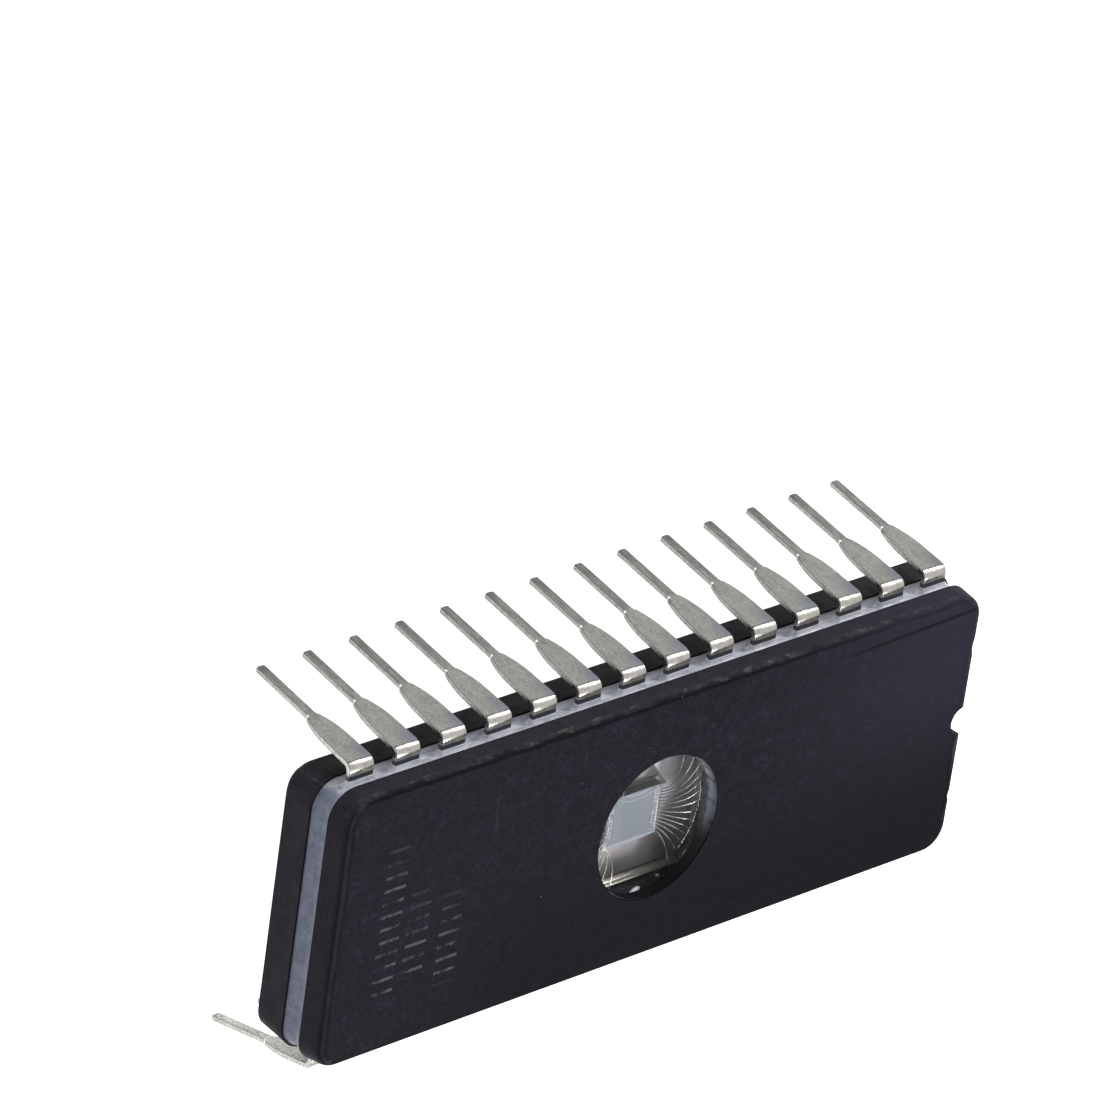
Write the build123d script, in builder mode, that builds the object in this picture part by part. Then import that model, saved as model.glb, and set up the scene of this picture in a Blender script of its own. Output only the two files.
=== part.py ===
from build123d import *
import os
from math import atan2, cos, degrees, radians, sin, tan

# A windowed ceramic memory chip in a 28-lead dual in-line package.
# It stands on its lead tips with the window up. X runs along the body with the
# notch at +X, and lead 1 is beside the notch on the +Y side. All sizes are mm.

os.makedirs("parts", exist_ok=True)

# Ceramic slabs
body_length = 36.84
body_width = 12.88
corner_radius = 1.3
base_thickness = 1.88
base_draft = 5.0
base_edge_chamfer = 0.25
cap_thickness = 1.06
cap_draft = 8.0
cap_edge_radius = 0.26

# Notch at the lead 1 end, and the two chipped spots on that end of the cap
notch_radius = 0.68
notch_depth = 0.88
notch_flare = 0.22
chip_places = ((3.7, 0.9), (-3.7, 0.35))
chip_bite = 0.2
chip_drop = 0.1

# Sealing glass
glass_thickness = 1.09
glass_inset = 0.1
glass_hollow = 0.13
glass_under_lead = 0.51
glass_wetting = 0.12
glass_setback = 0.1

# Window
window_radius = 3.43
window_recess = 0.04
window_edge = 0.06

# Cavity in the base, with what lies in it
cavity_length = 8.1
cavity_width = 7.04
cavity_depth = 0.36
cavity_corner = 0.5
cavity_draft = 6.0
cavity_edge_chamfer = 0.12
plating_thickness = 0.03
plating_gap = 0.02
attach_thickness = 0.05
attach_margin = 0.2
die_place = (-0.05, -0.23)
die_length = 3.1
die_width = 2.4
die_thickness = 0.4
pad_size = 0.11
pad_pitch = 0.155
pad_inset = 0.12
pad_height = 0.01

# Leads
leads_per_row = 14
lead_pitch = 2.54
lead_height = 6.68
lead_thickness = 0.25
lead_width = 1.33
bend_inner_radius = 0.2
shoulder_reach = 0.44
splay = 10.5
leaf_length = 2.94
leaf_straight = 1.3
leaf_mid_width = 1.28
leaf_end_width = 0.6
stem_width = 0.46
stem_step = 0.07
tip_chamfer = 0.08

# Inner fingers of the leads
shoulder_in = 0.45
finger_turn_in = 0.95
finger_root_width = 0.62
finger_tip_width = 0.46
finger_tip_pitch = 0.88
finger_setback = 0.15
finger_exposed = 0.85

# Bond wires
wire_diameter = 0.05
wire_rise = 0.2
wire_peak_share = 0.45
wire_heel_share = 0.12
wire_shoulder = 0.8
foot_length = 0.1
foot_width = 0.08
foot_height = 0.03
bond_from_tip = 0.25

# Heights of the layers, from the lead tips up
lead_bottom = lead_height - lead_thickness
base_top = lead_bottom - glass_under_lead
base_bottom = base_top - base_thickness
cap_bottom = base_top + glass_thickness
cap_top = cap_bottom + cap_thickness
cavity_floor = base_top - cavity_depth
plating_top = cavity_floor + plating_thickness
attach_top = plating_top + attach_thickness
die_top = attach_top + die_thickness
pad_top = die_top + pad_height

# Where each lead leaves the body and turns down
bend_centre_y = body_width / 2 + shoulder_reach


def export(piece, name):
    """Label one finished piece and write it under its own name."""
    piece.part.label = name
    export_step(piece.part, f"parts/{name}.step")


def notch_cutter(radius, low, high):
    """Upright half-round groove at the +X end, flared where it leaves the end."""
    end = body_length / 2
    centre = end - notch_depth + notch_radius
    mouth = (radius**2 - (notch_radius - notch_depth) ** 2) ** 0.5
    with BuildPart() as cutter:
        with BuildSketch(Plane.XY.offset(low)):
            with Locations((centre, 0)):
                Circle(radius)
            with BuildLine():
                Polyline(
                    (end - notch_flare, -mouth),
                    (end + notch_radius, -mouth - notch_flare - notch_radius),
                    (end + notch_radius, mouth + notch_flare + notch_radius),
                    (end - notch_flare, mouth),
                    close=True,
                )
            make_face()
        extrude(amount=high - low)
    return cutter.part


# Base slab: drafted sides, soft bottom edge, die cavity in its top, notch
with BuildPart() as ceramic_base:
    with BuildSketch(Plane((0, 0, base_top), z_dir=(0, 0, -1))):
        RectangleRounded(body_length, body_width, corner_radius)
    extrude(amount=base_thickness, taper=base_draft)
    chamfer(ceramic_base.faces().sort_by(Axis.Z)[0].edges(), base_edge_chamfer)
    with BuildSketch(Plane((0, 0, base_top), z_dir=(0, 0, -1))):
        RectangleRounded(cavity_length, cavity_width, cavity_corner)
    extrude(amount=cavity_depth, taper=cavity_draft, mode=Mode.SUBTRACT)
    cavity_bottom = ceramic_base.faces().sort_by_distance((0, 0, cavity_floor))[0]
    chamfer(cavity_bottom.edges(), cavity_edge_chamfer)
    add(notch_cutter(notch_radius, base_bottom, base_top), mode=Mode.SUBTRACT)

# Cap slab: the same outline, with the round window hole and the chipped spots
with BuildPart() as ceramic_cap:
    with BuildSketch(Plane.XY.offset(cap_bottom)):
        RectangleRounded(body_length, body_width, corner_radius)
    extrude(amount=cap_thickness, taper=cap_draft)
    fillet(ceramic_cap.faces().sort_by(Axis.Z)[-1].edges(), cap_edge_radius)
    with Locations((0, 0, cap_top)):
        Hole(window_radius)
    add(notch_cutter(notch_radius, cap_bottom, cap_top), mode=Mode.SUBTRACT)
    cap_top_end = body_length / 2 - cap_thickness * tan(radians(cap_draft))
    for chip_y, chip_radius in chip_places:
        with Locations((cap_top_end + chip_radius - chip_bite, chip_y, cap_top - chip_drop)):
            Sphere(chip_radius, mode=Mode.SUBTRACT)

# Window: a clear disc fused into the cap, a little below its top face
with BuildPart() as uv_window:
    with BuildSketch(Plane.XY.offset(cap_bottom)):
        Circle(window_radius)
    extrude(amount=cap_thickness - window_recess)
    chamfer(uv_window.edges().filter_by(GeomType.CIRCLE), window_edge)

# Metal film on the cavity floor
with BuildPart() as cavity_plating:
    floor_inset = cavity_edge_chamfer + cavity_depth * tan(radians(cavity_draft)) + plating_gap
    with BuildSketch(Plane.XY.offset(cavity_floor)):
        RectangleRounded(
            cavity_length - 2 * floor_inset,
            cavity_width - 2 * floor_inset,
            cavity_corner - floor_inset,
        )
    extrude(amount=plating_thickness)

# Bonding layer, squeezed out a little around the die
with BuildPart() as die_attach:
    with BuildSketch(Plane.XY.offset(plating_top)):
        with Locations(die_place):
            RectangleRounded(die_length + 2 * attach_margin, die_width + 2 * attach_margin, attach_margin)
    extrude(amount=attach_thickness, taper=45)

# Die with a column of bond pads along each short end
pads_per_end = leads_per_row
pad_x = die_length / 2 - pad_inset
with BuildPart() as silicon_die:
    with BuildSketch(Plane.XY.offset(attach_top)):
        with Locations(die_place):
            Rectangle(die_length, die_width)
    extrude(amount=die_thickness)
    with BuildSketch(Plane.XY.offset(die_top)):
        with Locations(die_place):
            with GridLocations(2 * pad_x, pad_pitch, 2, pads_per_end):
                Rectangle(pad_size, pad_size)
    extrude(amount=pad_height)


def rim_point(length_along):
    """Point on the line of finger tips that runs round one cavity corner."""
    half_x = cavity_length / 2 + finger_setback
    half_y = cavity_width / 2 + finger_setback
    radius = cavity_corner + finger_setback
    with BuildLine() as rim:
        Line((half_x, 0), (half_x, half_y - radius))
        JernArc(start=rim.line @ 1, tangent=(0, 1), radius=radius, arc_size=90)
        Line(rim.line @ 1, (0, half_y))
    return rim.wire().position_at(length_along, position_mode=PositionMode.LENGTH)


def finger_path(rank):
    """Turn and tip of a lead's inner finger, for the rank-th lead from the middle."""
    turn = Vector((rank - 0.5) * lead_pitch, body_width / 2 - finger_turn_in)
    tip = rim_point(finger_tip_pitch * (leads_per_row / 2 - rank + 0.5))
    return turn, tip


def finger_outline(rank):
    """Plan of the part of a lead that lies in the glass, out to where it bends."""
    turn, tip = finger_path(rank)
    run = (turn - tip).normalized()
    side = Vector(-run.Y, run.X)
    if side.X < 0:
        side = side * -1
    mitre = Vector(side.X + 1, side.Y).normalized()
    shoulder = body_width / 2 - shoulder_in
    half = lead_width / 2
    low = tip - side * finger_tip_width / 2
    high = tip + side * finger_tip_width / 2
    turn_low = turn - mitre * finger_root_width / 2
    turn_high = turn + mitre * finger_root_width / 2
    return (
        (turn.X - half, bend_centre_y),
        (turn.X - half, shoulder),
        (turn_low.X, turn_low.Y),
        (low.X, low.Y),
        (high.X, high.Y),
        (turn_high.X, turn_high.Y),
        (turn.X + half, shoulder),
        (turn.X + half, bend_centre_y),
    )


def lead_piece(rank):
    """A whole lead of the +X, +Y quarter: inner finger, bend, leaf and stem."""
    x = (rank - 0.5) * lead_pitch
    outer_radius = bend_inner_radius + lead_thickness
    bend_centre_z = lead_bottom - bend_inner_radius
    turn = radians(90 - splay)
    leg_y = bend_centre_y + outer_radius * sin(turn)
    leg_z = bend_centre_z + outer_radius * cos(turn)
    leg_normal = (0, cos(radians(splay)), sin(radians(splay)))
    leg_length = (leg_z - lead_thickness * sin(radians(splay))) / cos(radians(splay))
    with BuildPart() as lead:
        with BuildSketch(Plane.XY.offset(lead_bottom)):
            with BuildLine():
                Polyline(*finger_outline(rank), close=True)
            make_face()
        extrude(amount=lead_thickness)
        with BuildSketch(Plane((x, bend_centre_y, lead_bottom + lead_thickness / 2), x_dir=(1, 0, 0), z_dir=(0, 1, 0))):
            Rectangle(lead_width, lead_thickness)
        revolve(axis=Axis((x, bend_centre_y, bend_centre_z), (-1, 0, 0)), revolution_arc=90 - splay)
        with BuildSketch(Plane((x, leg_y, leg_z), x_dir=(1, 0, 0), z_dir=leg_normal)):
            with BuildLine() as half_leg:
                Polyline((0, 0), (lead_width / 2, 0), (leaf_mid_width / 2, leaf_straight))
                TangentArc(
                    (leaf_mid_width / 2, leaf_straight),
                    (leaf_end_width / 2, leaf_length),
                    tangent=(leaf_mid_width / 2 - lead_width / 2, leaf_straight),
                )
                Polyline(
                    (leaf_end_width / 2, leaf_length),
                    (stem_width / 2, leaf_length + stem_step),
                    (stem_width / 2, leg_length - tip_chamfer),
                    (stem_width / 2 - tip_chamfer, leg_length),
                    (0, leg_length),
                )
                mirror(about=Plane.YZ)
            make_face()
        extrude(amount=-lead_thickness)
    return lead.part


def lead_name(number):
    return f"lead_{number:02d}"


# Leads: one of each kind is formed, then mirrored to its four places
leads = {}
for rank in range(1, leads_per_row // 2 + 1):
    quarter = lead_piece(rank)
    half_row = leads_per_row // 2
    places = {
        half_row + 1 - rank: (),
        half_row + rank: (Plane.YZ,),
        3 * half_row + 1 - rank: (Plane.YZ, Plane.XZ),
        3 * half_row + rank: (Plane.XZ,),
    }
    for number, planes in places.items():
        with BuildPart() as lead:
            add(quarter)
            for plane in planes:
                mirror(about=plane, mode=Mode.REPLACE)
        leads[number] = lead
for number in sorted(leads):
    export(leads[number], lead_name(number))

# Sealing glass: fused round every lead between the slabs, open over the cavity
with BuildPart() as seal_glass:
    glass_length = body_length - 2 * glass_inset
    glass_width = body_width - 2 * glass_inset
    waist_taper = degrees(atan2(glass_hollow, glass_thickness / 2))
    for face_z, face_side in ((base_top, 1), (cap_bottom, -1)):
        with BuildSketch(Plane((0, 0, face_z), z_dir=(0, 0, face_side))):
            RectangleRounded(glass_length, glass_width, corner_radius - glass_inset)
        extrude(amount=glass_thickness / 2, taper=waist_taper)
    with BuildSketch(Plane.XY.offset(base_top)):
        RectangleRounded(
            cavity_length + 2 * glass_setback,
            cavity_width + 2 * glass_setback,
            cavity_corner + glass_setback,
        )
    extrude(amount=glass_thickness, mode=Mode.SUBTRACT)
    with BuildSketch(Plane.XY.offset(lead_bottom + glass_wetting)):
        RectangleRounded(
            cavity_length + 2 * finger_exposed,
            cavity_width + 2 * finger_exposed,
            cavity_corner + finger_exposed,
        )
    extrude(amount=cap_bottom - lead_bottom - glass_wetting, mode=Mode.SUBTRACT)
    add(notch_cutter(notch_radius - glass_inset / 2, base_top, cap_bottom), mode=Mode.SUBTRACT)
    for lead in leads.values():
        add(lead.part, mode=Mode.SUBTRACT)


def bond_wire(start, finish):
    """One looped wire in its upright plane, with a flattened foot at each end."""
    across = Vector(finish.X - start.X, finish.Y - start.Y)
    run = across.length
    climb = finish.Z - start.Z
    with BuildPart() as wire:
        with BuildLine(Plane(start, x_dir=across, z_dir=Vector(across.Y, -across.X))) as loop:
            Polyline(
                (0, foot_height),
                (run * wire_heel_share, climb + wire_rise * wire_shoulder),
                (run * wire_peak_share, climb + wire_rise),
                (run * (1 + wire_peak_share) / 2, climb + wire_rise * wire_shoulder),
                (run, climb + foot_height),
            )
        with BuildSketch(Plane(loop.line @ 0, x_dir=Vector(across.Y, -across.X), z_dir=loop.line % 0)):
            Rectangle(wire_diameter, wire_diameter)
        sweep(path=loop.wire(), transition=Transition.RIGHT)
        for place in (start, finish):
            with BuildSketch(Plane(place, x_dir=across, z_dir=(0, 0, 1))):
                Rectangle(foot_length, foot_width)
            extrude(amount=foot_height)
    return wire.part


def wire_fan(end):
    """All the wires from one end of the die to the finger tips round it."""
    with BuildPart() as fan:
        for side in (1, -1):
            for place in range(leads_per_row // 2):
                turn, tip = finger_path(leads_per_row // 2 - place)
                spot = tip + (turn - tip).normalized() * bond_from_tip
                pad = Vector(*die_place, pad_top) + Vector(end * pad_x, side * pad_pitch * (place + 0.5))
                add(bond_wire(pad, Vector(end * spot.X, side * spot.Y, lead_height)))
    return fan


export(ceramic_base, "ceramic_base")
export(ceramic_cap, "ceramic_cap")
export(seal_glass, "seal_glass")
export(uv_window, "uv_window")
export(cavity_plating, "cavity_plating")
export(die_attach, "die_attach")
export(silicon_die, "silicon_die")
export(wire_fan(1), "bond_wires_notch_end")
export(wire_fan(-1), "bond_wires_plain_end")
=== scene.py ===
import bpy
import numpy as np
from mathutils import Matrix, Vector


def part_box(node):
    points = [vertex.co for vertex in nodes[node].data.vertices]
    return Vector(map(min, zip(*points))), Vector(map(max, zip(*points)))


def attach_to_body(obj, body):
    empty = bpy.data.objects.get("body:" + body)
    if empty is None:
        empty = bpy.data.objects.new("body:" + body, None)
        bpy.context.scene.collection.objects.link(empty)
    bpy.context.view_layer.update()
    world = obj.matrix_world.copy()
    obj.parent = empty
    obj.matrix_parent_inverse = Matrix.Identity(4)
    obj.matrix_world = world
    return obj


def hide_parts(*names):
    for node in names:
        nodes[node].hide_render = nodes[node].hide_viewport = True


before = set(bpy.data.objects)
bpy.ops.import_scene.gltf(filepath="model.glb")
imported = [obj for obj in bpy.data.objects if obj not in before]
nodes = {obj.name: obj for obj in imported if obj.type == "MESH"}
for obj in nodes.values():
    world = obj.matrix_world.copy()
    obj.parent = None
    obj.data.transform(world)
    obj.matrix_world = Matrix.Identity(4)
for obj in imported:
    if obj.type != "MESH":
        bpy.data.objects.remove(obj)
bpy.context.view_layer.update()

# Base slab
# The lower half of the package: alumina powder coloured black, pressed in a die and fired. Its faces are
# matt, with pale specks and handling scratches, and its edges are rubbed lighter, with painted highlights
# on the corners and painted shade inside the rim and between the leads.
# Lengths are in millimetres, and MM turns them into metres. Most pairs say where a mark begins and
# where it is full.

MM = 0.001
SLAB_LENGTH = 36.84
SLAB_WIDTH = 12.88
SLAB_CORNER = 1.3
END_DRAFT = 0.3
SLAB_EDGE_SOFTENING = 0.04
SHARP_EDGE = np.radians(28)
FLAT_FACE = np.radians(1)
SAME_POINT = 0.001
RIM_BAND = (0.42, 0.3)
RIM_LINE_OUTER = (-0.04, 0.03)
RIM_LINE_INNER = (0.17, 0.1)
RIM_SHADE_OUTER = (0.13, 0.2)
RIM_SHADE_INNER = (0.38, 0.28)
LEAST_RUBBED = 0.03
CORNER_BAND = (0.45, 0.75)
CORNER_HIGHLIGHT_BAND = (0.12, 0.03)
PLAIN_END = (-17.4, -18.2)
ROW_END = (17.8, 16.8)
FIRED_BLACK = (0.004, 0.0036, 0.0075)
FIRED_MOTTLE = (0.021, 0.0202, 0.036)
FIRED_BROWN = (0.0125, 0.0098, 0.0105)
PRESSED_SIDE = (0.028, 0.0265, 0.037)
PRESSED_GRAIN = (0.018, 0.0165, 0.0225)
SIDE_SHADE_BETWEEN_LEADS = (0.006, 0.0052, 0.0062)
PALE_SPECK = (0.16, 0.145, 0.135)
RUBBED_PALE_AND_HIGHLIGHT = (0.085, 0.078, 0.074)
RIM_SHADE_AND_SCUFF = (0.0022, 0.0018, 0.0032)


class Shading:
    """Short ways to add shader nodes to a tree. Each gives the socket that holds its result."""

    def __init__(self, tree):
        self.tree = tree

    def join(self, value, socket):
        """Sets a socket to a plain value, or links another node's output to it."""
        if isinstance(value, bpy.types.NodeSocket):
            self.tree.links.new(value, socket)
        elif socket.type == "RGBA":
            socket.default_value = (*value[:3], 1)
        else:
            socket.default_value = value

    def node(self, kind, inputs=None, output=0, **settings):
        """Adds a node with these settings and joins its inputs."""
        made = self.tree.nodes.new("ShaderNode" + kind)
        for setting, value in settings.items():
            setattr(made, setting, value)
        for socket, value in (inputs or {}).items():
            self.join(value, made.inputs[socket])
        return made.outputs[output]

    def math(self, operation, first, second=0.0):
        """One operation of the Math node."""
        return self.node("Math", {0: first, 1: second}, operation=operation)

    def plus(self, first, second):
        """Sum of two values."""
        return self.math("ADD", first, second)

    def minus(self, first, second):
        """First value less the second."""
        return self.math("SUBTRACT", first, second)

    def times(self, *values):
        """Product of all the values."""
        product = values[0]
        for value in values[1:]:
            product = self.math("MULTIPLY", product, value)
        return product

    def larger(self, first, second):
        """The larger of two values."""
        return self.math("MAXIMUM", first, second)

    def distance(self, value, place=0.0):
        """How far a value is from a place, on either side."""
        return self.math("ABSOLUTE", self.minus(value, place))

    def radius(self, x, y, centre, squash=(1, 1)):
        """Distance in plan from a centre, each axis scaled first: the root of the sum of squares."""
        run = self.times(self.minus(x, centre[0]), squash[0])
        rise = self.times(self.minus(y, centre[1]), squash[1])
        return self.math("SQRT", self.plus(self.times(run, run), self.times(rise, rise)))

    def past(self, x, y, place, direction):
        """How far a point in plan lies past a place, along a direction."""
        run = self.times(self.minus(x, place[0]), direction[0])
        rise = self.times(self.minus(y, place[1]), direction[1])
        return self.plus(run, rise)

    def step(self, value, low, high, to_low=0.0, to_high=1.0):
        """Smooth rise from to_low to to_high as value goes from low to high."""
        inputs = {"Value": value, "From Min": low, "From Max": high, "To Min": to_low, "To Max": to_high}
        return self.node("MapRange", inputs, interpolation_type="SMOOTHSTEP")

    def place(self, stretch=(1, 1, 1), turn=(0, 0, 0)):
        """Object coordinates in millimetres, stretched and then turned."""
        where = self.node("TexCoord", output="Object")
        inputs = {"Vector": where, "Rotation": turn, "Scale": tuple(each / MM for each in stretch)}
        return self.node("Mapping", inputs, vector_type="POINT")

    def parts(self, vector):
        """The three parts of a vector."""
        return self.node("SeparateXYZ", {0: vector}, output=slice(0, 3))

    def axes(self):
        """The three object coordinates, in millimetres."""
        return self.parts(self.place())

    def noise(self, scale, detail=3.0, roughness=0.55, stretch=(1, 1, 1), turn=(0, 0, 0)):
        """Noise with a scale in cycles a millimetre."""
        where = self.place(stretch, turn)
        inputs = {"Vector": where, "Scale": scale, "Detail": detail, "Roughness": roughness}
        return self.node("TexNoise", inputs)

    def patches(self, scale, low, high, detail=3.0, roughness=0.55, stretch=(1, 1, 1), turn=(0, 0, 0)):
        """Noise pushed apart into patches: 0 where it is below low and 1 where it is above high."""
        return self.step(self.noise(scale, detail, roughness, stretch, turn), low, high)

    def blend(self, share, first, second):
        """Goes from the first colour to the second as share goes from 0 to 1."""
        made = self.tree.nodes.new("ShaderNodeMix")
        made.data_type = "RGBA"
        for socket, value in ((0, share), (6, first), (7, second)):
            self.join(value, made.inputs[socket])
        return made.outputs[2]

    def tint(self, tone, colour, *shares):
        """Mixes a colour into a tone, by the product of the shares."""
        return self.blend(self.times(*shares), tone, colour)


class Finish(Shading):
    """A material on one Principled shader, with the shader's own sockets set by name."""

    def __init__(self, name, colour, roughness, **sockets):
        self.material = bpy.data.materials.new(name)
        self.material.use_nodes = True
        super().__init__(self.material.node_tree)
        self.shader = self.tree.nodes["Principled BSDF"]
        for socket, value in {"Base Color": colour, "Roughness": roughness, **sockets}.items():
            self.feed(socket.replace("_", " "), value)

    def feed(self, socket, value):
        """Sets or joins a socket of the Principled shader."""
        self.join(value, self.shader.inputs[socket])

    def bump(self, height, depth, strength):
        """Gives the surface a relief of this depth."""
        inputs = {"Height": height, "Distance": depth * MM, "Strength": strength}
        self.feed("Normal", self.node("Bump", inputs, output="Normal"))


def dress(names, finish):
    """Gives CAD nodes a finish in place of the plain one they come with."""
    for name in names:
        nodes[name].data.materials.clear()
        nodes[name].data.materials.append(finish.material)


def soften(name, width, segments=2, whole_faces=False):
    """Joins a CAD node's loose triangles and rounds its sharp edges. With whole_faces the triangles of
    each flat face are made one face first, so that a narrow strip rounds without folding over."""
    weld = nodes[name].modifiers.new("join", "WELD")
    weld.merge_threshold = SAME_POINT * MM
    if whole_faces:
        flat = nodes[name].modifiers.new("flat", "DECIMATE")
        flat.decimate_type = "DISSOLVE"
        flat.angle_limit = FLAT_FACE
    bevel = nodes[name].modifiers.new("round", "BEVEL")
    bevel.width = width * MM
    bevel.segments = segments
    bevel.limit_method = "ANGLE"
    bevel.angle_limit = SHARP_EDGE
    bevel.harden_normals = False


def fired_ceramic(name, rim_height, corner_line, row_shade):
    """Black fired ceramic: gives the finish, and the socket of its colour for the caller to feed in.
    The flat edge at rim_height is rubbed pale, with painted shade in a dark line just inside, and at the
    end away from the notch painted shade darkens its round edge against the highlight it catches. The
    pale patches on the round corners are rubbed and also a painted highlight. corner_line above 0 paints
    a highlight line up each corner, and row_shade above 0 paints shade on the long sides between the
    leads. inward is the distance in from a rectangle with round corners: the corner's radius less the
    length of what lies past the corner's centre on each axis."""
    slab = Finish(name, FIRED_BLACK, 0.6, Specular_IOR_Level=0.07)
    x, y, z = slab.axes()
    past_x = slab.larger(slab.minus(slab.distance(x), SLAB_LENGTH / 2 - SLAB_CORNER - END_DRAFT), 0)
    past_y = slab.larger(slab.minus(slab.distance(y), SLAB_WIDTH / 2 - SLAB_CORNER), 0)
    inward = slab.minus(SLAB_CORNER, slab.radius(past_x, past_y, (0, 0)))
    inward = slab.plus(inward, slab.step(slab.noise(0.8), 0.3, 0.7, -0.05, 0.05))
    from_rim = slab.distance(z, rim_height)
    near_rim = slab.step(from_rim, *RIM_BAND)
    grain = slab.noise(9.0)

    # Top and bottom faces
    mottle = slab.patches(1.1, 0.34, 0.68, 6.0, 0.74)
    tone = slab.blend(mottle, FIRED_BLACK, FIRED_MOTTLE)
    brown = slab.patches(2.4, 0.5, 0.62, 6.0, 0.8, turn=(0.3, 0.2, 0.9))
    tone = slab.tint(tone, FIRED_BROWN, brown, 0.6)
    tone = slab.tint(tone, FIRED_BLACK, slab.patches(4.5, 0.38, 0.62, 4.0, 0.75), 0.75)

    # Sides
    side_tone = slab.blend(slab.step(grain, 0.3, 0.75), PRESSED_GRAIN, PRESSED_SIDE)
    # Painted shade on the long sides between the leads, as strong as row_shade
    shade_between_leads = slab.step(slab.distance(y), SLAB_WIDTH / 2 - 0.5, SLAB_WIDTH / 2 - 0.2)
    shade_between_leads = slab.times(shade_between_leads, slab.step(slab.distance(x), *ROW_END))
    side_tone = slab.tint(side_tone, SIDE_SHADE_BETWEEN_LEADS, shade_between_leads, row_shade)
    on_side = slab.larger(slab.step(inward, 0.2, 0.08), slab.step(from_rim, 0.2, 0.4))
    tone = slab.tint(tone, side_tone, on_side)

    # Painted shade as a dark line inside the rim, and scratches
    shade = slab.times(slab.step(inward, *RIM_SHADE_OUTER), slab.step(inward, *RIM_SHADE_INNER))
    tone = slab.tint(tone, RIM_SHADE_AND_SCUFF, shade, near_rim, 0.85)
    across = slab.patches(1.0, 0.66, 0.74, 2.0, stretch=(0.25, 9.0, 1.0), turn=(0, 0, 0.14))
    along = slab.patches(1.0, 0.68, 0.76, 2.0, stretch=(7.0, 0.2, 1.0), turn=(0, 0, 0.3))
    scratch = slab.larger(across, along)
    tone = slab.tint(tone, RUBBED_PALE_AND_HIGHLIGHT, scratch, slab.patches(0.22, 0.45, 0.62, 2.0), 0.14)

    # Rubbed rim, whose pale line fades at the end away from the notch, where painted shade darkens the
    # round edge; rubbed corners that are also a painted highlight, and a painted highlight line up each
    # corner
    rubbed = slab.patches(2.2, 0.48, 0.64, 6.0, 0.8, stretch=(0.6, 0.6, 1.0))
    line = slab.times(slab.step(inward, *RIM_LINE_OUTER), slab.step(inward, *RIM_LINE_INNER))
    line = slab.times(line, slab.step(x, *PLAIN_END, 1.0, 0.2))
    worn_and_corner_highlight = slab.times(line, near_rim, slab.plus(rubbed, LEAST_RUBBED))
    corner = slab.times(slab.step(past_x, *CORNER_BAND), slab.step(past_y, *CORNER_BAND))
    worn_and_corner_highlight = slab.larger(worn_and_corner_highlight, slab.times(corner, slab.patches(1.4, 0.46, 0.6, 4.0, 0.7), near_rim, 0.4))
    corner_highlight = slab.step(slab.distance(past_x, past_y), *CORNER_HIGHLIGHT_BAND)
    corner_highlight = slab.times(corner_highlight, corner, rubbed, corner_line)
    tone = slab.tint(tone, RUBBED_PALE_AND_HIGHLIGHT, slab.larger(worn_and_corner_highlight, corner_highlight))
    # Painted shade: the rim at the end away from the notch is darkened against the highlight of its round
    # edge
    rim_shade_at_plain_end = slab.times(slab.step(from_rim, 0.12, 0.05), slab.step(inward, 0.2, 0.1))
    tone = slab.tint(tone, FIRED_BLACK, rim_shade_at_plain_end, slab.step(x, *PLAIN_END), 0.7)

    tone = slab.tint(tone, PALE_SPECK, slab.patches(2.3, 0.765, 0.83, 2.0))
    slab.feed("Roughness", slab.step(mottle, 0.0, 1.0, 0.52, 0.66))
    slab.bump(slab.minus(slab.times(grain, 0.6), slab.times(scratch, 0.5)), 0.006, 0.5)
    return slab, tone


base_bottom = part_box("ceramic_base")[0][2] / MM
base, base_tone = fired_ceramic("black_ceramic_base", base_bottom, corner_line=1.0, row_shade=0.9)
base.feed("Base Color", base_tone)
dress(["ceramic_base"], base)
soften("ceramic_base", SLAB_EDGE_SOFTENING)

# Metal film in the cavity
# A gold and glass paste fired on the cavity floor, that also climbs the wall in a round fillet.
# The floor is the CAD film, and the wall is a thin strip carried round the cavity.

CAVITY_LENGTH = 8.1
CAVITY_WIDTH = 7.04
CAVITY_CORNER = 0.5
CAVITY_RIM_HEIGHT = 5.92
FLOOR_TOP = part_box("cavity_plating")[1][2] / MM
FILM_THICKNESS = 0.012
FILM_FILLET = 0.2
FILM_OFF_WALL = 0.035
FILM_ON_FLOOR = 0.06
FILM_UNDER_RIM = 0.015
FILLET_POINTS = 7
CAVITY_CORNER_POINTS = 9
RIM_SHADOW_ALONG_X = (1.5, 2.5)
RIM_SHADOW_ALONG_Y = (0.6, -0.6)
HIGHLIGHT_SHADE_ALONG_X = (1.4, -0.4)
HIGHLIGHT_SHADE_ALONG_Y = (-1.0, -1.5)
CORNER_ALONG_X = (1.2, 1.8)
CORNER_ALONG_Y = (0.0, 1.0)
CORNER_PALES_ALONG_X = (2.7, 3.6)
SHADE_WEDGE_LINE = (2.2, 0.6)
SHADE_WEDGE_SQUARE = (0.774, 0.633)
SHADE_WEDGE_EDGE = (0.03, -0.04)
SHADE_WEDGE_ALONG_Y = (0.5, 0.62)
BROWN_PATCH = (0.6, 1.65)
BROWN_PATCH_RADII = (0.6, 0.1)
FILM_BROWN = (0.2, 0.17, 0.14)
FLOOR_GREY = (0.42, 0.39, 0.405)
FLOOR_PALE = (0.6, 0.555, 0.57)
FLOOR_RIM_SHADOW = (0.27, 0.25, 0.27)
FLOOR_HIGHLIGHT_SHADE = (0.22, 0.2, 0.2)
FLOOR_CORNER_DARK = (0.07, 0.07, 0.08)
FLOOR_CORNER_LIGHT = (0.26, 0.26, 0.29)
FLOOR_WEDGE_SHADE = (0.012, 0.011, 0.013)
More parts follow.
